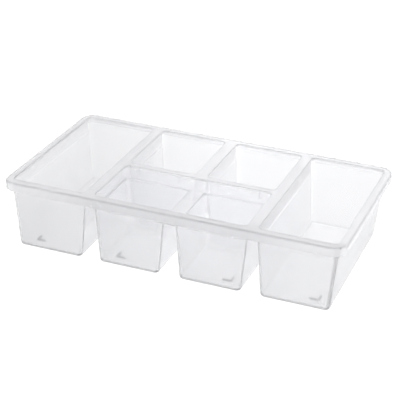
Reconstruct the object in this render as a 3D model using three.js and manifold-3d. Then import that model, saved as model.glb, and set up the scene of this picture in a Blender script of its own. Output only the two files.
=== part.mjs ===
// Parts sorting tray: a clear moulded tray with six tapered bins hung from one flat rim.
// Millimetres, +Z up. X is the long side, Y runs front (-) to back (+).
// Origin: on the table plane, under the middle of the rim. The bins stand on the table.
import * as THREE from 'three';
import { mergeVertices } from 'three/addons/utils/BufferGeometryUtils.js';
import Module from 'manifold-3d';

const wasm = await Module();
wasm.setup();

// ---------- rim ----------
const WIDTH = 264;          // left to right
const DEPTH = 148;          // front to back
const HEIGHT = 55.5;        // table to rim top
const PLATE_T = 1.5;        // thickness of the rim plate and its dividers
const PLATE_Z = HEIGHT - PLATE_T;   // underside of the plate
const RIM_R = 11;           // corner radius in plan
const ROLL_R = 2;           // rounded outer top edge
const SKIRT_H = 7;          // down-turned skirt, from the rim top
const SKIRT_T = 1.5;
const OPEN_R = 3.5;         // corner radius of the openings in plan

// ---------- bins ----------
const WALL = 1.5;
const FLOOR_T = 1.5;
const LOW_R = 2;            // inside corner radius below the shoulder
const SHOULDER_R = 2.5;     // inside corner radius of the full-height bins at the shoulder
const MIN_OUTER_R = 1;      // smallest corner radii in plan, round the floor
const MIN_INNER_R = 0.8;
const BASE_R = 2.5;         // outer radius between wall and floor
const SHOULDER_TOP = 11;    // depth below the rim top where the outside shoulder begins
const SHOULDER_END = 13;    // and where it ends
const UPPER_INSET = 0.2;    // draft of the outside above the shoulder
const SHOULDER_X = 1.1;     // side wall inset just below the shoulder
const SHOULDER_Y = 0.8;     // front and back wall inset just below the shoulder
const SIDE_DRAFT = 3.5;     // further inset of the side walls at the floor
const END_DRAFT = 2.2;      // further inset of the front and back walls at the floor
const FLOOR_INSET_X = SHOULDER_X + SIDE_DRAFT;
const FLOOR_INSET_Y = SHOULDER_Y + END_DRAFT;

// ---------- front recess ----------
const NECK_D = 11.5;        // rim top to the underside of the ledge
const LEDGE_T = 1.5;        // thickness of the ledge and web at the foot of the recess
const LEDGE_Z = HEIGHT - NECK_D;
const GUSSET_T = 1;
const GUSSET_Y = 2;         // reach behind the back wall of the recess
const GUSSET_H = 6;
const GUSSET_X = [-48.7, -16.2, 16.2, 48.7];

// ---------- L-shaped floor ribs ----------
const RIB_H = 1;
const RIB_LEG = 7.5;        // outside length of each leg
const RIB_W = 1.25;         // width of a leg
const RIB_IN_X = 9.8;       // corner of the L to the outside of the side wall, at the floor
const RIB_IN_Y = 10;        // corner of the L to the outside of the end wall, at the floor

// ---------- plan: inner faces at the rim top, [x0, x1, y0, y1] ----------
const OUT_X0 = 67.6;        // left and right bins
const OUT_X1 = 125.6;
const MID_X0 = 5;           // middle bins
const MID_X1 = 59;
const END_Y = 66.5;         // front and back faces
const CROSS_Y0 = -8;        // cross divider between front and rear bins
const CROSS_Y1 = -2.2;
const BINS = {
  left: [-OUT_X1, -OUT_X0, -END_Y, END_Y],
  front_left: [-MID_X1, -MID_X0, -END_Y, CROSS_Y0],
  front_right: [MID_X0, MID_X1, -END_Y, CROSS_Y0],
  rear_left: [-MID_X1, -MID_X0, CROSS_Y1, END_Y],
  rear_right: [MID_X0, MID_X1, CROSS_Y1, END_Y],
  right: [OUT_X0, OUT_X1, -END_Y, END_Y],
};
const FRONT_RECESS = [-MID_X1, MID_X1, -END_Y, CROSS_Y0];   // spans both front bins
const OPENINGS = [BINS.left, FRONT_RECESS, BINS.rear_left, BINS.rear_right, BINS.right];

const OVERCUT = 1;          // cutters run this far past the faces they cut

// Curve segments per plan corner
const RIM_SEG = 8;
const OPENING_SEG = 6;
const BIN_SEG = 5;

// ---------- materials ----------
const clearPlastic = () => new THREE.MeshStandardMaterial({
  color: 0xe9eef1, roughness: 0.16, metalness: 0, transparent: true, opacity: 0.35,
});

// ---------- helpers ----------
const group = new THREE.Group();

function addPart(name, manifold) {
  const mesh = new THREE.Mesh(toGeometry(manifold), clearPlastic());
  mesh.name = name;
  group.add(mesh);
}

function toGeometry(manifold) {
  const { vertProperties, triVerts } = manifold.getMesh();
  const geometry = new THREE.BufferGeometry();
  geometry.setAttribute('position',
    new THREE.BufferAttribute(Float32Array.from(vertProperties), 3));
  geometry.setIndex(new THREE.BufferAttribute(Uint32Array.from(triVerts), 1));
  geometry.computeVertexNormals();
  return geometry;
}

function solid(geometry) {
  // only positions may count when vertices are merged
  geometry.deleteAttribute('normal');
  geometry.deleteAttribute('uv');
  const merged = mergeVertices(geometry, 1e-4);
  return new wasm.Manifold(new wasm.Mesh({
    numProp: 3,
    vertProperties: Float32Array.from(merged.attributes.position.array),
    triVerts: Uint32Array.from(merged.index.array),
  }));
}

function box([x0, x1, y0, y1], z0, z1) {
  const geometry = new THREE.BoxGeometry(x1 - x0, y1 - y0, z1 - z0);
  geometry.translate((x0 + x1) / 2, (y0 + y1) / 2, (z0 + z1) / 2);
  return solid(geometry);
}

// centre and half sizes of a plan rectangle
function middle([x0, x1, y0, y1]) {
  return [(x0 + x1) / 2, (y0 + y1) / 2, (x1 - x0) / 2, (y1 - y0) / 2];
}

function grow([x0, x1, y0, y1], dx, dy = dx) {
  return [x0 - dx, x1 + dx, y0 - dy, y1 + dy];
}

function roundedRect(hx, hy, r) {
  const shape = new THREE.Shape();
  const corners = [[1, -1], [1, 1], [-1, 1], [-1, -1]];
  corners.forEach(([sx, sy], k) => {
    shape.absarc(sx * (hx - r), sy * (hy - r), r, (k - 1) * Math.PI / 2, k * Math.PI / 2, false);
  });
  return shape;
}

// A block of rounded-rectangle section whose size and corner radius change with height.
// rings: [z, inset in x, inset in y, corner radius], lowest first; insets are from rect.
function block(rect, rings, seg) {
  const [cx, cy, hx, hy] = middle(rect);
  const r = rings[0][3];
  const steps = rings.length - 1;
  // extruded with one unit of height per step, so that z gives the ring number
  const geometry = new THREE.ExtrudeGeometry(roundedRect(hx, hy, r), {
    depth: steps, steps, curveSegments: seg, bevelEnabled: false,
  });
  const position = geometry.attributes.position;
  for (let i = 0; i < position.count; i++) {
    const [z, insetX, insetY, ringR] = rings[Math.round(position.getZ(i))];
    const place = (value, half, inset) => {
      const onArc = Math.max(0, Math.abs(value) - (half - r)) / r;   // 0 to 1 along the corner
      return Math.sign(value) * (half - inset - ringR + ringR * onArc);
    };
    position.setXYZ(i, cx + place(position.getX(i), hx, insetX),
      cy + place(position.getY(i), hy, insetY), z);
  }
  return solid(geometry);
}

// a block with upright walls
function prism(rect, r, z0, z1, seg) {
  return block(rect, [[z0, 0, 0, r], [z1, 0, 0, r]], seg);
}

// ---------- rim plate with its skirt ----------
// Rings of one skirt face: upright to the roll, then a quarter round up to topZ.
function skirtRings(bottomZ, topZ, inset, rollR, rollSteps) {
  const rings = [[bottomZ, inset, inset, RIM_R - inset]];
  for (let k = 0; k <= rollSteps; k++) {
    const angle = (Math.PI / 2) * (k / rollSteps);
    const ringInset = inset + rollR * (1 - Math.cos(angle));
    rings.push([topZ - rollR + rollR * Math.sin(angle), ringInset, ringInset, RIM_R - ringInset]);
  }
  return rings;
}

function rimPlate() {
  const rect = [-WIDTH / 2, WIDTH / 2, -DEPTH / 2, DEPTH / 2];
  const skirtZ = HEIGHT - SKIRT_H;
  const outer = skirtRings(skirtZ, HEIGHT, 0, ROLL_R, 4);
  const inner = skirtRings(skirtZ - OVERCUT, PLATE_Z, SKIRT_T, ROLL_R - SKIRT_T, 2);
  let plate = block(rect, outer, RIM_SEG).subtract(block(rect, inner, RIM_SEG));
  for (const opening of OPENINGS) {
    plate = plate.subtract(
      prism(opening, OPEN_R, PLATE_Z - OVERCUT, HEIGHT + OVERCUT, OPENING_SEG));
  }
  return plate;
}

// Splits the plate into the frame and the flat bars between the openings.
// Each bar ends where the corner arcs of the openings start.
function addRim() {
  const barY = END_Y - OPEN_R;
  const joinX = MID_X1 - OPEN_R;
  const joinY = CROSS_Y1 + OPEN_R;
  const rearX = MID_X0 + OPEN_R;
  const dividers = {
    divider_left: [-OUT_X0 - OVERCUT, -joinX, -barY, barY],
    divider_right: [joinX, OUT_X0 + OVERCUT, -barY, barY],
    divider_cross: [-joinX, joinX, CROSS_Y0 - OVERCUT, joinY],
    divider_rear: [-rearX, rearX, joinY, barY],
  };
  const plate = rimPlate();
  const cutters = Object.entries(dividers).map(([name, rect]) => (
    [name, box(rect, PLATE_Z - OVERCUT, HEIGHT + OVERCUT)]));
  addPart('rim_frame', cutters.reduce((rest, [, cutter]) => rest.subtract(cutter), plate));
  for (const [name, cutter] of cutters) addPart(name, plate.intersect(cutter));
}

// ---------- bins ----------
// Quarter rounds between floor and wall, for a radius of 1: [rise, inset]
const OUTER_ROUND = [[0, 1], [0.134, 0.5], [0.5, 0.134], [1, 0]];
const INNER_ROUND = [[0, 1], [0.293, 0.293], [1, 0]];

// inset [x, y] of the outside of the wall, from the end of the shoulder down to the floor
function outsideInset(z) {
  const t = (HEIGHT - z - SHOULDER_END) / (HEIGHT - SHOULDER_END);
  return [SHOULDER_X + SIDE_DRAFT * t, SHOULDER_Y + END_DRAFT * t];
}

// inset of the inside of a full-height bin: one straight taper from the plate to the floor
function taperInset(z) {
  const t = (PLATE_Z - z) / PLATE_Z;
  return [WALL + FLOOR_INSET_X * t, WALL + FLOOR_INSET_Y * t];
}

// inset of the inside of a front bin: parallel to the outside
const parallelInset = (z) => outsideInset(z).map((inset) => inset + WALL);

function baseRings(round, z0, radius, insetAt, cornerR, minR) {
  return round.map(([rise, inset]) => {
    const z = z0 + radius * rise;
    const extra = radius * inset;
    const [insetX, insetY] = insetAt(z);
    return [z, insetX + extra, insetY + extra, Math.max(minR, cornerR - extra)];
  });
}

// A full-height bin reaches the rim plate; a front bin stops at the underside of the ledge.
function bin(opening, fullHeight) {
  const insideInset = fullHeight ? taperInset : parallelInset;
  const shoulderZ = HEIGHT - SHOULDER_END;
  const topZ = fullHeight ? PLATE_Z : LEDGE_Z;
  const topR = OPEN_R + WALL;
  const lowOuterR = LOW_R + WALL;
  const outer = [
    ...baseRings(OUTER_ROUND, 0, BASE_R, outsideInset, lowOuterR, MIN_OUTER_R),
    [shoulderZ, SHOULDER_X, SHOULDER_Y, lowOuterR],
  ];
  const inner = [
    ...baseRings(INNER_ROUND, FLOOR_T, BASE_R - FLOOR_T, insideInset, LOW_R, MIN_INNER_R),
    [shoulderZ, ...insideInset(shoulderZ), fullHeight ? SHOULDER_R : LOW_R],
  ];
  if (fullHeight) {
    outer.push([HEIGHT - SHOULDER_TOP, UPPER_INSET, UPPER_INSET, topR - UPPER_INSET],
      [topZ, 0, 0, topR]);
    inner.push([topZ, WALL, WALL, OPEN_R], [topZ + OVERCUT, WALL, WALL, OPEN_R]);
  } else {
    outer.push([topZ, SHOULDER_X, SHOULDER_Y, lowOuterR]);
    inner.push([topZ + OVERCUT, SHOULDER_X + WALL, SHOULDER_Y + WALL, LOW_R]);
  }
  const rect = grow(opening, WALL);
  return block(rect, outer, BIN_SEG).subtract(block(rect, inner, BIN_SEG));
}

// ---------- front recess: a shallow neck over both front bins, with a ledge at its foot ----------
function frontRecess() {
  const ledgeTop = LEDGE_Z + LEDGE_T;
  let recess = prism(grow(FRONT_RECESS, WALL), OPEN_R + WALL, LEDGE_Z, PLATE_Z, BIN_SEG);
  for (const x of GUSSET_X) {        // short upright gussets behind the back wall
    const rect = [x - GUSSET_T / 2, x + GUSSET_T / 2, CROSS_Y0, CROSS_Y0 + WALL + GUSSET_Y];
    recess = recess.add(box(rect, PLATE_Z - GUSSET_H, PLATE_Z));
  }
  recess = recess.subtract(prism(FRONT_RECESS, OPEN_R, ledgeTop, PLATE_Z + OVERCUT, BIN_SEG));
  for (const opening of [BINS.front_left, BINS.front_right]) {
    const mouth = grow(opening, -SHOULDER_X, -SHOULDER_Y);
    recess = recess.subtract(
      prism(mouth, LOW_R, LEDGE_Z - OVERCUT, ledgeTop + OVERCUT, BIN_SEG));
  }
  return recess;
}

// Splits off the lowered web between the two front bins as its own part.
function addFrontRecess() {
  const webX = MID_X0 + SHOULDER_X + LOW_R;
  const webRect = [-webX, webX, -END_Y + SHOULDER_Y, CROSS_Y0 - SHOULDER_Y];
  const webBox = box(webRect, LEDGE_Z - OVERCUT, LEDGE_Z + LEDGE_T + OVERCUT);
  const recess = frontRecess();
  addPart('divider_front', recess.intersect(webBox));
  addPart('front_recess', recess.subtract(webBox));
}

// ---------- L-shaped ribs on the floors, near the outer corners of the tray ----------
// name: [bin, side in x, side in y]
const RIBS = {
  left_front: ['left', -1, -1],
  left_rear: ['left', -1, 1],
  front_left: ['front_left', -1, -1],
  front_right: ['front_right', 1, -1],
  rear_left: ['rear_left', -1, 1],
  rear_right: ['rear_right', 1, 1],
  right_front: ['right', 1, -1],
  right_rear: ['right', 1, 1],
};
const RIB_OUTLINE = [
  [0, 0], [RIB_LEG, 0], [RIB_LEG, RIB_W], [RIB_W, RIB_W], [RIB_W, RIB_LEG], [0, RIB_LEG],
];

function rib(opening, sx, sy) {
  const [cx, cy, hx, hy] = middle(opening);
  const shape = new THREE.Shape(RIB_OUTLINE.map(([x, y]) => new THREE.Vector2(x, y)));
  const geometry = new THREE.ExtrudeGeometry(shape, { depth: RIB_H, bevelEnabled: false });
  // turned so that the corner of the L points to the bin's corner
  geometry.rotateZ(Math.atan2(sy, sx) + Math.PI * 0.75);
  geometry.translate(
    cx + sx * (hx + WALL - FLOOR_INSET_X - RIB_IN_X),
    cy + sy * (hy + WALL - FLOOR_INSET_Y - RIB_IN_Y),
    FLOOR_T,
  );
  return solid(geometry);
}

// ---------- assembly ----------
addRim();
for (const [name, opening] of Object.entries(BINS)) {
  addPart('bin_' + name, bin(opening, !name.startsWith('front')));
}
addFrontRecess();
for (const [name, [key, sx, sy]] of Object.entries(RIBS)) {
  addPart('floor_rib_' + name, rib(BINS[key], sx, sy));
}

export default group;
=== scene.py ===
import bpy, bmesh, math
from mathutils import Vector, Matrix
from mathutils.geometry import delaunay_2d_cdt


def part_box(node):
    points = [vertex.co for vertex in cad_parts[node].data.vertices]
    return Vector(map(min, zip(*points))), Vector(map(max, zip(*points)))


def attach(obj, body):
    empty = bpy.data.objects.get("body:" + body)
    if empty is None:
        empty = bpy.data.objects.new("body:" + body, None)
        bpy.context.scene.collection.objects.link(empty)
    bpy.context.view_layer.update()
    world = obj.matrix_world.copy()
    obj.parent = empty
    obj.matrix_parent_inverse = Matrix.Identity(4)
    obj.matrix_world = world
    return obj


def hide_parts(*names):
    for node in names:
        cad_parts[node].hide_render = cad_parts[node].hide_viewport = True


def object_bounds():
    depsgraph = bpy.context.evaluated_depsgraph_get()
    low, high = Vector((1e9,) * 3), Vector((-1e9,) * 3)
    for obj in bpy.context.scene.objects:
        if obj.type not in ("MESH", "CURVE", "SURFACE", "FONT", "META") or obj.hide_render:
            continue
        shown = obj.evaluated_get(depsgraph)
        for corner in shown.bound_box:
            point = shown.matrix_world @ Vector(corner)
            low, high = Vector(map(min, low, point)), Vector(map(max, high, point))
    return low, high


# Clear moulded sorting tray: six bins hanging from one rim plate with a skirt, and a recess
# over the two front bins. Metres, +Z up, the length along X, the front towards -Y.
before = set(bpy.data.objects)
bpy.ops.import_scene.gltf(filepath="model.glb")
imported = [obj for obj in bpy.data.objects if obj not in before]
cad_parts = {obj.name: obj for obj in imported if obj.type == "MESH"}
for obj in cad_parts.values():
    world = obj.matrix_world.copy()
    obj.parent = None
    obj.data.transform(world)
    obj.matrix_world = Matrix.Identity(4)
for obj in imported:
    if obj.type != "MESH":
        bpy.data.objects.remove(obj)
cad_lo, cad_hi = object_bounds()
MM = 0.001

# ---------------------------------------------------------------- names of the frame's pieces
BINS = ["bin_left", "bin_front_left", "bin_front_right",
        "bin_rear_left", "bin_rear_right", "bin_right"]
FRONT_BINS = ["bin_front_left", "bin_front_right"]
DIVIDERS = ["divider_left", "divider_right", "divider_cross", "divider_rear"]
RIBS = ["floor_rib_" + place for place in (
    "left_front", "left_rear", "front_left", "front_right",
    "rear_left", "rear_right", "right_front", "right_rear")]

# ---------------------------------------------------------------- sizes read from the frame
rim_lo, rim_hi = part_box("rim_frame")
RIM_TOP = rim_hi.z
SKIRT_Z = rim_lo.z                      # bottom of the skirt
HALF_X = (rim_hi.x - rim_lo.x) / 2
HALF_Y = (rim_hi.y - rim_lo.y) / 2
cross_lo, cross_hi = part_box("divider_cross")
PLATE_T = cross_hi.z - cross_lo.z
PLATE_Z = cross_lo.z                    # underside of the rim plate
FLOOR_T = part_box("floor_rib_left_front")[0].z   # the ribs stand on the bin floors
WALL = FLOOR_T
recess_lo, recess_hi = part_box("front_recess")
web_lo, web_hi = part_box("divider_front")        # lowered web between the two front bins

# ---------------------------------------------------------------- chosen sizes
CORNER_STEPS = 12
OPEN_R = 3.5 * MM                       # corners of the openings at the rim
LOW_R = 2.0 * MM                        # inside corners of the bins lower down
MIN_R = 0.05 * MM
RIM_R = 11 * MM                         # corners of the whole tray
ROLL_R = 2.0 * MM                       # rolled outer edge of the rim
SEAM = 0.03 * MM                        # hairline gap between touching parts
SEAM_TOP = PLATE_Z - SEAM               # top of the parts that hang under the plate


def inner_rect(lo, hi, back=None):
    """Centre x, y and half sizes of the inside of a walled box."""
    x0, x1, y0 = lo.x + WALL, hi.x - WALL, lo.y + WALL
    y1 = hi.y - WALL if back is None else back
    return (x0 + x1) / 2, (y0 + y1) / 2, (x1 - x0) / 2, (y1 - y0) / 2


TRAY = (0, 0, HALF_X, HALF_Y)
# the recess ends at the cross divider, because its box takes in the gussets behind it
RECESS = inner_rect(recess_lo, recess_hi, back=cross_lo.y)
RIM_HOLES = [inner_rect(*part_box(name)) for name in BINS if name not in FRONT_BINS] + [RECESS]
LEDGE_HOLES = [inner_rect(*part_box(name)) for name in FRONT_BINS]


# ---------------------------------------------------------------- mesh helpers
def rounded_rect(cx, cy, half_x, half_y, radius):
    """Points of a rounded rectangle, anticlockwise."""
    radius = max(radius, MIN_R)
    points = []
    for side_x, side_y, start in ((1, -1, -90), (1, 1, 0), (-1, 1, 90), (-1, -1, 180)):
        for i in range(CORNER_STEPS + 1):
            angle = math.radians(start + 90.0 * i / CORNER_STEPS)
            points.append((cx + side_x * (half_x - radius) + radius * math.cos(angle),
                           cy + side_y * (half_y - radius) + radius * math.sin(angle)))
    return points


def outline(rect, radius, grow=0.0):
    """Rounded rectangle moved outwards by grow, its corners kept concentric."""
    cx, cy, half_x, half_y = rect
    return rounded_rect(cx, cy, half_x + grow, half_y + grow, radius + grow)


def quarter_turn(steps, first=0):
    """Cosine and sine of evenly spaced angles from 0 to 90 degrees."""
    angles = [math.radians(90 * k / steps) for k in range(first, steps + 1)]
    return [(math.cos(angle), math.sin(angle)) for angle in angles]


def add_ring(bm, points, z):
    return [bm.verts.new((x, y, z)) for x, y in points]


def bridge(bm, lower, upper):
    """Quads between two rings of equal length, facing away from the axis."""
    for i in range(len(lower)):
        j = (i + 1) % len(lower)
        bm.faces.new((lower[i], lower[j], upper[j], upper[i]))


def bridge_down(bm, upper, lower):
    """Quads from a ring to the one below it, facing into the hole."""
    for i in range(len(upper)):
        j = (i + 1) % len(upper)
        bm.faces.new((upper[i], lower[i], lower[j], upper[j]))


def add_prism(bm, first, second):
    """Closed solid between two outlines with matching points."""
    first = [bm.verts.new(point) for point in first]
    second = [bm.verts.new(point) for point in second]
    bm.faces.new(first)
    bm.faces.new(list(reversed(second)))
    bridge_down(bm, first, second)
    bmesh.ops.recalc_face_normals(bm, faces=bm.faces)


def is_inside(point, ring):
    inside = False
    for i in range(len(ring)):
        (ax, ay), (bx, by) = ring[i], ring[(i + 1) % len(ring)]
        if (ay > point[1]) != (by > point[1]):
            if point[0] < (bx - ax) * (point[1] - ay) / (by - ay) + ax:
                inside = not inside
    return inside


def add_flat(bm, outer, holes, z, up):
    """Level face with holes; returns the vertices of each ring, the outer one first."""
    rings = [outer] + holes
    points, edges, starts = [], [], []
    for ring in rings:
        start = len(points)
        starts.append(start)
        points += [Vector((x / MM, y / MM)) for x, y in ring]
        edges += [(start + i, start + (i + 1) % len(ring)) for i in range(len(ring))]
    # worked in millimetres, to suit the triangulation's tolerance
    flat, _, faces, sources, _, _ = delaunay_2d_cdt(points, edges, [], 0, 1e-6, True)
    verts = [bm.verts.new((p.x * MM, p.y * MM, z)) for p in flat]
    vert_of = {source: verts[k] for k, merged in enumerate(sources) for source in merged}
    for face in faces:
        centre = sum((flat[i] for i in face), Vector((0, 0))) / len(face) * MM
        if not is_inside(centre, outer) or any(is_inside(centre, hole) for hole in holes):
            continue
        corners = [verts[i] for i in face]
        side_a = corners[1].co - corners[0].co
        side_b = corners[2].co - corners[0].co
        if (side_a.cross(side_b).z > 0) != up:
            corners.reverse()
        bm.faces.new(corners)
    return [[vert_of[start + i] for i in range(len(ring))]
            for start, ring in zip(starts, rings)]


def round_openings(bm, holes, radius, edge, z, steps, top_rings, under_rings):
    """Walls of the holes through a plate, with a rounded edge at the top."""
    for rect, ring_above, under in zip(holes, top_rings, under_rings):
        for cos, sin in quarter_turn(steps, first=1):
            points = outline(rect, radius, edge * (1 - sin))
            ring = add_ring(bm, points, z - edge * (1 - cos))
            bridge_down(bm, ring_above, ring)
            ring_above = ring
        bridge_down(bm, ring_above, under)


def make_object(bm, name):
    """Smooth-shaded object, with edges over 40 degrees kept sharp."""
    mesh = bpy.data.meshes.new(name)
    bm.normal_update()
    bm.to_mesh(mesh)
    bm.free()
    ob = bpy.data.objects.new(name, mesh)
    bpy.context.scene.collection.objects.link(ob)
    mesh.polygons.foreach_set("use_smooth", [True] * len(mesh.polygons))
    sharp_cos = math.cos(math.radians(40.0))
    edge_normals = {}
    for face in mesh.polygons:
        for key in face.edge_keys:
            edge_normals.setdefault(key, []).append(face.normal.copy())
    for edge in mesh.edges:
        normals = edge_normals.get(tuple(sorted(edge.vertices)), [])
        edge.use_edge_sharp = len(normals) == 2 and normals[0].dot(normals[1]) < sharp_cos
    weighted = ob.modifiers.new("normals", "WEIGHTED_NORMAL")
    weighted.keep_sharp = True
    weighted.weight = 80
    return ob


# ---------------------------------------------------------------- rim plate, rolled edge, skirt
RIM_EDGE = 0.55 * MM                    # rounding of the openings
ROLL_CORNER = 0.5 * MM                  # inside corner under the roll
SKIRT_LIP = 0.55 * MM                   # rounding at the bottom of the skirt


def skirt_profile():
    """(inset, z) from the plate's underside, down the skirt's inside and up its outside."""
    profile = [(WALL + 0.15 * ROLL_CORNER, PLATE_Z - 0.45 * ROLL_CORNER),
               (WALL, PLATE_Z - ROLL_CORNER),
               (WALL, SKIRT_Z + 1.2 * MM)]
    profile += [(WALL - SKIRT_LIP * (1 - cos), SKIRT_Z + SKIRT_LIP * (1 - sin))
                for cos, sin in quarter_turn(4)]
    profile += [(SKIRT_LIP * (1 - sin), SKIRT_Z + SKIRT_LIP * (1 - cos))
                for cos, sin in quarter_turn(4)]
    profile.append((0.0, SKIRT_Z + 1.6 * MM))
    # the last step of the roll is the edge of the top face
    profile += [(ROLL_R * (1 - cos), RIM_TOP - ROLL_R + ROLL_R * sin)
                for cos, sin in quarter_turn(8)[:-1]]
    return profile


def build_rim():
    bm = bmesh.new()
    top = add_flat(bm, outline(TRAY, RIM_R, -ROLL_R),
                   [outline(hole, OPEN_R, RIM_EDGE) for hole in RIM_HOLES], RIM_TOP, up=True)
    under = add_flat(bm, outline(TRAY, RIM_R, -WALL - ROLL_CORNER),
                     [outline(hole, OPEN_R) for hole in RIM_HOLES], PLATE_Z, up=False)
    previous = under[0]
    for inset, z in skirt_profile():
        ring = add_ring(bm, outline(TRAY, RIM_R, -inset), z)
        bridge(bm, previous, ring)
        previous = ring
    bridge(bm, previous, top[0])
    round_openings(bm, RIM_HOLES, OPEN_R, RIM_EDGE, RIM_TOP, 5, top[1:], under[1:])
    bmesh.ops.recalc_face_normals(bm, faces=bm.faces)
    return make_object(bm, "top_rim")


# ---------------------------------------------------------------- bins
# depths are measured down from the rim top
SHOULDER_TOP, SHOULDER_END = 11.1 * MM, 12.9 * MM
TAPER_TOP = 13 * MM
NECK_DRAFT = 0.2 * MM / (11 * MM)       # inset per depth above the shoulder
SIDE_IN, SIDE_TAPER = 1.1 * MM, 3.5 * MM    # side walls: inset at the shoulder, added taper
END_IN, END_TAPER = 0.8 * MM, 2.2 * MM      # the same for the front and back walls
CORNER_BLEND = 20 * MM                  # depth over which the inside corners tighten
BASE_R, BASE_IN = 2.5 * MM, 1.0 * MM    # rounding at the foot, outside and inside
BASE_MIN_R = 0.8 * MM                   # least corner radius in that rounding
SHOULDER_STEPS = 6
OUTER_DEPTHS = ([4 * MM, 8 * MM]
                + [SHOULDER_TOP + (SHOULDER_END - SHOULDER_TOP) * k / SHOULDER_STEPS
                   for k in range(SHOULDER_STEPS + 1)]
                + [15 * MM, 22 * MM, 32 * MM, 42 * MM])
INNER_DEPTHS = [4 * MM, 8 * MM, 12 * MM, 16 * MM, 21.5 * MM, 30 * MM, 40 * MM]
FRONT_DEPTHS = [13 * MM, 16 * MM, 22 * MM, 32 * MM, 42 * MM]


def smoothstep(t):
    t = min(1.0, max(0.0, t))
    return t * t * (3 - 2 * t)


def outer_wall(depth, full_depth, is_front):
    """Inset in x, inset in y and corner radius of the outside of a bin."""
    t = max(0.0, (depth - TAPER_TOP) / (full_depth - TAPER_TOP))
    side, end = SIDE_IN + SIDE_TAPER * t, END_IN + END_TAPER * t
    if is_front:
        return side, end, LOW_R + WALL
    neck = NECK_DRAFT * depth
    s = smoothstep((depth - SHOULDER_TOP) / (SHOULDER_END - SHOULDER_TOP))
    return (neck * (1 - s) + side * s,
            neck * (1 - s) + end * s,
            (OPEN_R + WALL) * (1 - s) + (LOW_R + WALL) * s)


def inner_wall(depth, full_depth, is_front):
    """The same for the inside of a bin."""
    if is_front:
        side, end, radius = outer_wall(depth, full_depth, is_front)
        return side + WALL, end + WALL, radius - WALL
    t = max(0.0, (depth - PLATE_T) / (full_depth - PLATE_T))
    s = smoothstep((depth - PLATE_T) / CORNER_BLEND)
    return (WALL + (SIDE_IN + SIDE_TAPER) * t,
            WALL + (END_IN + END_TAPER) * t,
            OPEN_R * (1 - s) + LOW_R * s)


def build_bin(name):
    """Walled bin; the front ones start under the recess and have no shoulder."""
    lo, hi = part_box(name)
    is_front = name in FRONT_BINS
    cx, cy = (lo.x + hi.x) / 2, (lo.y + hi.y) / 2
    half_x, half_y = (hi.x - lo.x) / 2, (hi.y - lo.y) / 2
    if is_front:        # the frame's box already has the first inset taken off
        half_x, half_y = half_x + SIDE_IN, half_y + END_IN
    top = web_lo.z - SEAM if is_front else SEAM_TOP
    outer_depths = [RIM_TOP - top] + (FRONT_DEPTHS if is_front else OUTER_DEPTHS)
    inner_depths = [RIM_TOP - top] + (FRONT_DEPTHS if is_front else INNER_DEPTHS)
    bm = bmesh.new()

    def ring(z, wall, extra=0.0):
        side, end, radius = wall(RIM_TOP - z, RIM_TOP - lo.z, is_front)
        points = rounded_rect(cx, cy, half_x - side - extra, half_y - end - extra,
                              max(BASE_MIN_R, radius - 0.75 * extra))
        return add_ring(bm, points, z)

    # up the outside, then down the inside
    rings = [ring(lo.z + BASE_R * (1 - cos), outer_wall, BASE_R * (1 - sin))
             for cos, sin in quarter_turn(8)]
    rings += [ring(RIM_TOP - depth, outer_wall) for depth in reversed(outer_depths)]
    rings += [ring(RIM_TOP - depth, inner_wall) for depth in inner_depths]
    rings += [ring(lo.z + FLOOR_T + BASE_IN * (1 - cos), inner_wall, BASE_IN * (1 - sin))
              for cos, sin in reversed(quarter_turn(8))]
    for previous, following in zip(rings, rings[1:]):
        bridge(bm, previous, following)
    bm.faces.new(list(reversed(rings[0])))
    bm.faces.new(rings[-1])
    bmesh.ops.recalc_face_normals(bm, faces=bm.faces)
    return make_object(bm, name + "_shell")


# ---------------------------------------------------------------- front recess, ledge and web
LEDGE_EDGE = 0.3 * MM                   # rounding of the openings in the ledge
COVE = 0.15 * MM                        # hollow at the foot of the recess walls
LEDGE_CHAMFER = 0.35 * MM               # bottom outer edge
NECK_DEPTH = 6 * MM                     # depth of an extra ring in the walls


def build_recess():
    bm = bmesh.new()
    ledge = add_flat(bm, outline(RECESS, OPEN_R, -COVE),
                     [outline(hole, LOW_R, LEDGE_EDGE) for hole in LEDGE_HOLES],
                     web_hi.z, up=True)
    under = add_flat(bm, outline(RECESS, OPEN_R, WALL - LEDGE_CHAMFER),
                     [outline(hole, LOW_R) for hole in LEDGE_HOLES], web_lo.z, up=False)
    round_openings(bm, LEDGE_HOLES, LOW_R, LEDGE_EDGE, web_hi.z, 4, ledge[1:], under[1:])
    # (grow, z) up the inside and down the outside
    profile = [(-COVE * (1 - sin), web_hi.z + COVE * (1 - cos))
               for cos, sin in quarter_turn(4, first=1)]
    profile += [(0.0, RIM_TOP - NECK_DEPTH), (0.0, SEAM_TOP), (WALL, SEAM_TOP),
                (WALL, RIM_TOP - NECK_DEPTH), (WALL, web_lo.z + LEDGE_CHAMFER)]
    previous = ledge[0]
    for grow, z in profile:
        ring = add_ring(bm, outline(RECESS, OPEN_R, grow), z)
        bridge(bm, previous, ring)
        previous = ring
    bridge(bm, previous, under[0])
    bmesh.ops.recalc_face_normals(bm, faces=bm.faces)
    ob = make_object(bm, "front_recess_shell")
    add_gussets(ob)
    return ob


GUSSET_X = (-48.7 * MM, -16.2 * MM, 16.2 * MM, 48.7 * MM)
GUSSET_HALF_T = 0.5 * MM
GUSSET_H = 6 * MM
GUSSET_OUT = 2 * MM                     # how far they stand out from the wall
GUSSET_SUNK = 0.5 * MM                  # how far they reach into it


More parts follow.
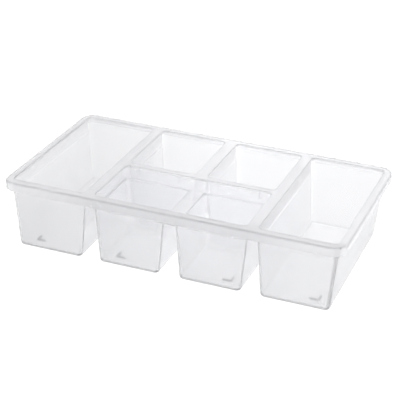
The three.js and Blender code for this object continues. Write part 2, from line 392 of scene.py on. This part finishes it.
def add_gussets(ob):
    """Upright gussets on the outside of the back wall, under the cross divider."""
    wall_y = RECESS[1] + RECESS[3] + WALL
    near, far = wall_y - GUSSET_SUNK, wall_y + GUSSET_OUT
    foot = SEAM_TOP - GUSSET_H
    profile = [(near, SEAM_TOP), (far, SEAM_TOP), (far, SEAM_TOP - 0.5 * GUSSET_H),
               (far - 0.6 * MM, foot), (near, foot)]
    for k, x in enumerate(GUSSET_X):
        bm = bmesh.new()
        add_prism(bm, [(x - GUSSET_HALF_T, y, z) for y, z in profile],
                  [(x + GUSSET_HALF_T, y, z) for y, z in profile])
        bmesh.ops.bevel(bm, geom=list(bm.edges), offset=0.12 * MM, segments=2,
                        profile=0.5, affect="EDGES")
        gusset = make_object(bm, ob.name + "_g%d" % k)
        union = ob.modifiers.new("gusset%d" % k, "BOOLEAN")
        union.operation = "UNION"
        union.solver = "EXACT"
        union.object = gusset
        bpy.context.view_layer.objects.active = ob
        bpy.ops.object.select_all(action="DESELECT")
        ob.select_set(True)
        # applied ahead of the weighted normals, which stay live
        while ob.modifiers[0] != union:
            bpy.ops.object.modifier_move_up(modifier=union.name)
        bpy.ops.object.modifier_apply(modifier=union.name)
        bpy.data.objects.remove(gusset)


# ---------------------------------------------------------------- floor ribs
RIB_W = 1.25 * MM


def build_rib(name):
    """L-shaped rib, its corner towards the nearest corner of the tray."""
    lo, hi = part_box(name)
    bottom, top = lo.z + SEAM, hi.z
    length = hi.x - lo.x
    corner_x, way_x = (lo.x, 1) if lo.x < 0 else (hi.x, -1)
    corner_y, way_y = (lo.y, 1) if lo.y < 0 else (hi.y, -1)
    shape = [(corner_x + way_x * u, corner_y + way_y * v) for u, v in (
        (0, 0), (length, 0), (length, RIB_W), (RIB_W, RIB_W), (RIB_W, length), (0, length))]
    bm = bmesh.new()
    add_prism(bm, [(x, y, bottom) for x, y in shape], [(x, y, top) for x, y in shape])
    upright = [e for e in bm.edges if abs(e.verts[0].co.z - e.verts[1].co.z) > 0.1 * MM]
    bmesh.ops.bevel(bm, geom=upright, offset=0.45 * MM, segments=4,
                    profile=0.5, affect="EDGES")
    top_edges = [e for e in bm.edges
                 if all(abs(v.co.z - top) < 1e-6 for v in e.verts)
                 and len(e.link_faces) == 2
                 and any(abs(f.normal.z) < 0.5 for f in e.link_faces)]
    bmesh.ops.bevel(bm, geom=top_edges, offset=0.3 * MM, segments=3,
                    profile=0.5, affect="EDGES")
    return make_object(bm, name + "_shape")


# ---------------------------------------------------------------- shader helpers
def node(tree, kind, inputs=None, **settings):
    """New shader node; inputs are values, or sockets to link, by name or index."""
    new = tree.nodes.new("ShaderNode" + kind)
    for key, value in settings.items():
        setattr(new, key, value)
    for key, value in (inputs or {}).items():
        if isinstance(value, bpy.types.NodeSocket):
            tree.links.new(value, new.inputs[key])
        else:
            new.inputs[key].default_value = value
    return new


def calc(tree, operation, *values):
    return node(tree, "Math", dict(enumerate(values)), operation=operation).outputs[0]


def multiply(tree, a, b):
    return calc(tree, "MULTIPLY", a, b)


def one_minus(tree, value):
    return calc(tree, "SUBTRACT", 1.0, value)


def ramp(tree, value, over, gives, kind="SMOOTHSTEP"):
    """Carries the range `over` to the range `gives`, clamped."""
    inputs = {"From Min": over[0], "From Max": over[1],
              "To Min": gives[0], "To Max": gives[1], "Value": value}
    return node(tree, "MapRange", inputs, interpolation_type=kind).outputs["Result"]


def tinted(tree, color, factor):
    """Colour multiplied by a factor."""
    return node(tree, "Mix", {0: 1.0, 6: (*color, 1), 7: factor},
                data_type="RGBA", blend_type="MULTIPLY").outputs[2]


def mix_shaders(tree, factor, first, second):
    return node(tree, "MixShader",
                {0: factor, 1: first.outputs[0], 2: second.outputs[0]})


# ---------------------------------------------------------------- clear plastic
PLASTIC_IOR = 1.49
ABSORPTION = 6.0            # how fast light dies out inside the plastic
ABSORPTION_COLOR = (0.5, 0.505, 0.515, 1)
SHADOW_COLOR = (0.985, 0.987, 0.99, 1)  # what lamps keep on their way through
MILK = 0.9                  # brightness of the milky part
RIM_MILK = 1.06             # the rim's, against the other parts
MILK_BLUE = 1.012           # blue of the milky part, against red and green
FRONT_HAZE = 0.70           # share of the milkiness that the front walls have
RIM_FRONT_HAZE = 1.1        # the same for the rim
FRONT_Y = (-0.066, -0.058)  # y over which the front fades out
FRONT_SHADE = 0.895          # painted shade: tone of the front in the middle
FRONT_SHADE_ENDS = 0.915     # and towards its ends
FRONT_ENDS_X = (0.055, 0.070)
LEFT_X = (-0.132, 0.0)      # from the left end to the middle
LEFT_SHADE = 0.885           # painted shade: tone at the left end
FRONT_SHARE = 0.85          # how much being at the front sways the painted edge shade and the painted left shade
EDGE_SHADE = 0.85            # painted shade: tone that rounded edges lose where they show most
UPRIGHT = 0.08              # share of that on upright edges
RIGHT_SHARE = 0.35          # least share at the right end of the bins
SKIRT_SHADE = 0.10           # painted shade: how much deeper the front of the skirt is


def surface_roughness(tree, position, rough):
    """A soft cloud, and fine scuffs."""
    cloud = node(tree, "TexNoise", {"Scale": 45.0, "Detail": 3.0, "Vector": position})
    scuff = node(tree, "TexNoise", {"Scale": 900.0, "Detail": 2.0, "Vector": position})
    return calc(tree, "ADD",
                ramp(tree, cloud.outputs["Fac"], over=(0.3, 0.7),
                     gives=(rough * 0.75, rough * 1.25)),
                ramp(tree, scuff.outputs["Fac"], over=(0.62, 0.74), gives=(0.0, rough * 0.5)))


def flow_marks(tree, position):
    """Normal with faint upright flow marks."""
    stretched = node(tree, "Mapping", {"Vector": position, "Scale": (1.0, 1.0, 0.09)})
    noise = node(tree, "TexNoise",
                 {"Scale": 260.0, "Detail": 2.0, "Vector": stretched.outputs[0]})
    bump = node(tree, "Bump",
                {"Strength": 0.12, "Distance": 0.0002, "Height": noise.outputs["Fac"]})
    return bump.outputs[0]


def painted_edge_shade(tree, place, front, loss, is_rim):
    """Painted shade on rounded edges, where the normal lies between the axes: it stands in for
    the dark lines that refraction and reflection give there.
    """
    geometry = node(tree, "NewGeometry")
    absolute = node(tree, "VectorMath", {0: geometry.outputs["Normal"]}, operation="ABSOLUTE")
    normal = node(tree, "SeparateXYZ", {0: absolute.outputs[0]}).outputs
    largest = calc(tree, "MAXIMUM", calc(tree, "MAXIMUM", normal[0], normal[1]), normal[2])
    rounded = ramp(tree, largest, over=(0.84, 0.988), gives=(1.0, 0.0))
    share = ramp(tree, normal[2], over=(0.05, 0.30), gives=(UPRIGHT, 1.0))
    if not is_rim:      # the level edges that show are the bottom ones
        low = ramp(tree, place["Z"], over=(6 * MM, 9 * MM), gives=(1.0, UPRIGHT))
        right = ramp(tree, place["X"], over=(0.095, 0.110), gives=(0.0, RIGHT_SHARE))
        share = calc(tree, "MAXIMUM", multiply(tree, share, low), right)
    rounded = multiply(tree, rounded, share)
    if is_rim:          # only the edges of the openings, not the rolled outer edge
        roll = [ramp(tree, calc(tree, "ABSOLUTE", place[axis]),
                     over=(half - 3.5 * MM, half - 2.5 * MM), gives=(0.0, 1.0))
                for axis, half in (("X", HALF_X), ("Y", HALF_Y))]
        where = one_minus(tree, calc(tree, "MAXIMUM", *roll))
    else:
        where = calc(tree, "ADD", 0.15, multiply(tree, FRONT_SHARE, front))
    return one_minus(tree, multiply(tree, loss, multiply(tree, rounded, where)))


def painted_place_shade(tree, place, front, is_rim):
    """Painted shade: a deeper tone at the front, towards the left end and along the front of
    the skirt.
    """
    from_middle = calc(tree, "ABSOLUTE", place["X"])
    front_shade = ramp(tree, from_middle, over=FRONT_ENDS_X,
                      gives=(1.0 - FRONT_SHADE, 1.0 - FRONT_SHADE_ENDS))
    tone = one_minus(tree, multiply(tree, front_shade, front))
    left = ramp(tree, place["X"], over=LEFT_X, gives=(LEFT_SHADE, 1.0), kind="LINEAR")
    left_shade = multiply(tree, one_minus(tree, left),
                         one_minus(tree, multiply(tree, FRONT_SHARE, front)))
    tone = multiply(tree, tone, one_minus(tree, left_shade))
    if is_rim:
        skirt = ramp(tree, place["Y"], over=(0.8 * MM - HALF_Y, 2.0 * MM - HALF_Y),
                     gives=(1.0, 0.0))
        amount = ramp(tree, calc(tree, "ABSOLUTE", place["X"]), over=(0.065, 0.105),
                      gives=(SKIRT_SHADE, SKIRT_SHADE * 0.3))
        tone = multiply(tree, tone, one_minus(tree, multiply(tree, skirt, amount)))
    return tone


def clear_plastic(name, tint, haze, rough, edge_shade=EDGE_SHADE, is_rim=False):
    """Refracting plastic, a little milky, with flow marks, and painted shade on its edges and
    by place.
    """
    material = bpy.data.materials.new(name)
    material.use_nodes = True
    tree = material.node_tree
    tree.nodes.clear()
    position = node(tree, "TexCoord").outputs["Object"]
    place = node(tree, "SeparateXYZ", {0: position}).outputs
    front = ramp(tree, place["Y"], over=FRONT_Y, gives=(1.0, 0.0))
    # painted shade from the edges and from the place, laid into both the clear and the milky
    # colour
    tone = multiply(tree, painted_edge_shade(tree, place, front, edge_shade, is_rim),
                    painted_place_shade(tree, place, front, is_rim))
    clear = node(tree, "BsdfPrincipled", {
        "IOR": PLASTIC_IOR,
        "Transmission Weight": 1.0,
        "Roughness": surface_roughness(tree, position, rough),
        "Normal": flow_marks(tree, position),
        "Base Color": tinted(tree, tint, tone)})

    milk = MILK * (RIM_MILK if is_rim else 1.0)
    milk_color = tinted(tree, (milk, milk, milk * MILK_BLUE), tone)
    milky = mix_shaders(tree, 0.5,
                        node(tree, "BsdfTranslucent", {"Color": milk_color}),
                        node(tree, "BsdfDiffuse", {"Color": milk_color}))
    # the bins are clearer at the front, where the marks on the floors show through
    front_haze = haze * (RIM_FRONT_HAZE if is_rim else FRONT_HAZE)
    haze_here = ramp(tree, place["Y"], over=FRONT_Y, gives=(front_haze, haze))
    body = mix_shaders(tree, haze_here, clear, milky)
    # lamps shine through it
    shadow_ray = node(tree, "LightPath").outputs["Is Shadow Ray"]
    see_through = node(tree, "BsdfTransparent", {"Color": SHADOW_COLOR})
    surface = mix_shaders(tree, shadow_ray, body, see_through)
    # long paths inside the plastic come out darker than short ones
    volume = node(tree, "VolumeAbsorption",
                  {"Color": ABSORPTION_COLOR, "Density": ABSORPTION})
    node(tree, "OutputMaterial", {"Surface": surface.outputs[0], "Volume": volume.outputs[0]})
    return material


TINT = (0.958, 0.958, 0.963)
# painted shade: the clear ribs are tinted dark grey, in place of the dark lines that refraction
# gives them
RIB_SHADE_TINT = (0.36, 0.36, 0.365)
bin_plastic = clear_plastic("clear_plastic", TINT, haze=0.26, rough=0.16)
rim_plastic = clear_plastic("clear_plastic_rim", TINT, haze=0.26, rough=0.16,
                            edge_shade=0.25, is_rim=True)
recess_plastic = clear_plastic("clear_plastic_recess", TINT, haze=0.20, rough=0.18,
                               edge_shade=0.0)
rib_plastic = clear_plastic("clear_plastic_rib", RIB_SHADE_TINT, haze=0.02, rough=0.06)

# ---------------------------------------------------------------- pieces
rim = build_rim()
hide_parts("rim_frame", *DIVIDERS)
recess = build_recess()
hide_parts("front_recess", "divider_front")
made = [(rim, rim_plastic), (recess, recess_plastic)]
for names, build, plastic in ((BINS, build_bin, bin_plastic), (RIBS, build_rib, rib_plastic)):
    for name in names:
        piece = build(name)
        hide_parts(name)
        made.append((piece, plastic))
for piece, plastic in made:
    piece.data.materials.clear()
    piece.data.materials.append(plastic)
    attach(piece, "root")

# ---------------------------------------------------------------- studio floor
FLOOR_SIDES = 96
FLOOR_RADIUS = 6.0
FLOOR_GAP = 0.02 * MM                   # below the tray
SHADE_HALF = (("X", 0.122), ("Y", 0.066))   # half sizes of the soft shade under the tray
GLOW_OPEN, GLOW_UNDER = 0.70, 0.69      # glow for other rays, in the open and under the tray
GLOW_SEEN = 0.82                        # glow seen directly by the camera


def floor_material():
    material = bpy.data.materials.new("studio_floor")
    material.use_nodes = True
    tree = material.node_tree
    place = node(tree, "SeparateXYZ", {0: node(tree, "TexCoord").outputs["Object"]}).outputs
    shade = [ramp(tree, calc(tree, "ABSOLUTE", place[axis]),
                  over=(half - 0.006, half + 0.008), gives=(1.0, 0.0))
             for axis, half in SHADE_HALF]
    glow = ramp(tree, multiply(tree, *shade), over=(0.0, 1.0),
                gives=(GLOW_OPEN, GLOW_UNDER), kind="LINEAR")
    camera_ray = node(tree, "LightPath").outputs["Is Camera Ray"]
    strength = ramp(tree, camera_ray, over=(0.0, 1.0), gives=(glow, GLOW_SEEN), kind="LINEAR")
    inputs = tree.nodes["Principled BSDF"].inputs
    inputs["Base Color"].default_value = (0.25, 0.25, 0.25, 1)
    inputs["Roughness"].default_value = 0.9
    inputs["Specular IOR Level"].default_value = 0.0
    inputs["Emission Color"].default_value = (1.0, 1.0, 1.0, 1)
    tree.links.new(strength, inputs["Emission Strength"])
    return material


def build_floor():
    bm = bmesh.new()
    z = cad_lo.z - FLOOR_GAP
    centre = bm.verts.new((0, 0, z))
    angles = [2 * math.pi * i / FLOOR_SIDES for i in range(FLOOR_SIDES)]
    ring = add_ring(bm, [(FLOOR_RADIUS * math.cos(angle), FLOOR_RADIUS * math.sin(angle))
                         for angle in angles], z)
    for i in range(FLOOR_SIDES):
        bm.faces.new((centre, ring[i], ring[(i + 1) % FLOOR_SIDES]))
    mesh = bpy.data.meshes.new("floor")
    bm.to_mesh(mesh)
    bm.free()
    ob = bpy.data.objects.new("floor", mesh)
    bpy.context.scene.collection.objects.link(ob)
    mesh.materials.append(floor_material())


# ---------------------------------------------------------------- world
# (height, brightness) seen by all but camera rays: 0 is straight down, 0.5 the horizon, 1 up
SKY_ENDS = (1.0, 0.65)
SKY = ((0.45, 1.0), (0.58, 1.0), (0.70, 0.9), (0.85, 0.75))
SKY_BLUE = 1.01                         # blue of the stops between the ends


def build_world():
    world = bpy.data.worlds.new("studio")
    bpy.context.scene.world = world
    world.use_nodes = True
    tree = world.node_tree
    tree.nodes.clear()
    direction = node(tree, "TexCoord").outputs["Generated"]
    z = node(tree, "SeparateXYZ", {0: direction}).outputs["Z"]
    height = ramp(tree, z, over=(-1.0, 1.0), gives=(0.0, 1.0), kind="LINEAR")
    sky = node(tree, "ValToRGB", {"Fac": height})
    stops = sky.color_ramp.elements
    for k, value in enumerate(SKY_ENDS):
        stops[k].position = k
        stops[k].color = (value, value, value, 1)
    for position, value in SKY:
        stops.new(position).color = (value, value, value * SKY_BLUE, 1)
    lighting = node(tree, "Background", {"Color": sky.outputs["Color"], "Strength": 1.02})
    backdrop = node(tree, "Background", {"Color": (1, 1, 1, 1), "Strength": 1.05})
    camera_ray = node(tree, "LightPath").outputs["Is Camera Ray"]
    surface = mix_shaders(tree, camera_ray, lighting, backdrop)
    node(tree, "OutputWorld", {"Surface": surface.outputs[0]})


# ---------------------------------------------------------------- lights and camera
LIGHT_TARGET = Vector((0, 0, 0.03))


def area_light(name, location, size, power):
    """Square soft light aimed at the tray, left out of reflections and refractions."""
    light = bpy.data.lights.new(name, "AREA")
    light.shape = "RECTANGLE"
    light.size = light.size_y = size
    light.energy = power
    ob = bpy.data.objects.new(name, light)
    ob.location = location
    ob.rotation_mode = "QUATERNION"
    ob.rotation_quaternion = (LIGHT_TARGET - Vector(location)).to_track_quat("-Z", "Y")
    ob.visible_glossy = False
    ob.visible_transmission = False
    bpy.context.scene.collection.objects.link(ob)


LENS = 116.1882                         # on a sensor 36 wide, both in millimetres
YAW, PITCH, ROLL = 0.3529, 0.4543, 0.0354   # radians: turned left, tilted down, rolled
CAMERA_AT = (306.3181 * MM, -834.367 * MM, 412.4983 * MM + RIM_TOP)


def build_camera():
    camera = bpy.data.cameras.new("camera")
    camera.sensor_width = 36.0
    camera.lens = LENS
    camera.clip_start = 0.01
    camera.clip_end = 50
    ob = bpy.data.objects.new("camera", camera)
    bpy.context.scene.collection.objects.link(ob)
    forward = Vector((-math.sin(YAW) * math.cos(PITCH),
                      math.cos(YAW) * math.cos(PITCH),
                      -math.sin(PITCH)))
    level = Vector((math.cos(YAW), math.sin(YAW), 0.0))
    upright = level.cross(forward)
    right = math.cos(ROLL) * level + math.sin(ROLL) * upright
    up = -math.sin(ROLL) * level + math.cos(ROLL) * upright
    ob.rotation_mode = "QUATERNION"
    ob.rotation_quaternion = Matrix((right, up, -forward)).transposed().to_quaternion()
    ob.location = CAMERA_AT
    bpy.context.scene.camera = ob


build_floor()
build_world()
area_light("key", location=(-0.5, 0.35, 0.9), size=0.8, power=8.0)
area_light("fill", location=(0.8, -0.5, 0.7), size=0.7, power=3.0)
build_camera()

# ---------------------------------------------------------------- render settings
scene = bpy.context.scene
scene.view_settings.view_transform = "Standard"
scene.view_settings.look = "None"
# many bounces, since light crosses several clear walls
scene.cycles.max_bounces = 32
scene.cycles.transmission_bounces = 32
scene.cycles.transparent_max_bounces = 48
scene.cycles.glossy_bounces = 6
scene.cycles.diffuse_bounces = 4
scene.cycles.sample_clamp_indirect = 3.0
scene.cycles.caustics_refractive = True
scene.cycles.caustics_reflective = False
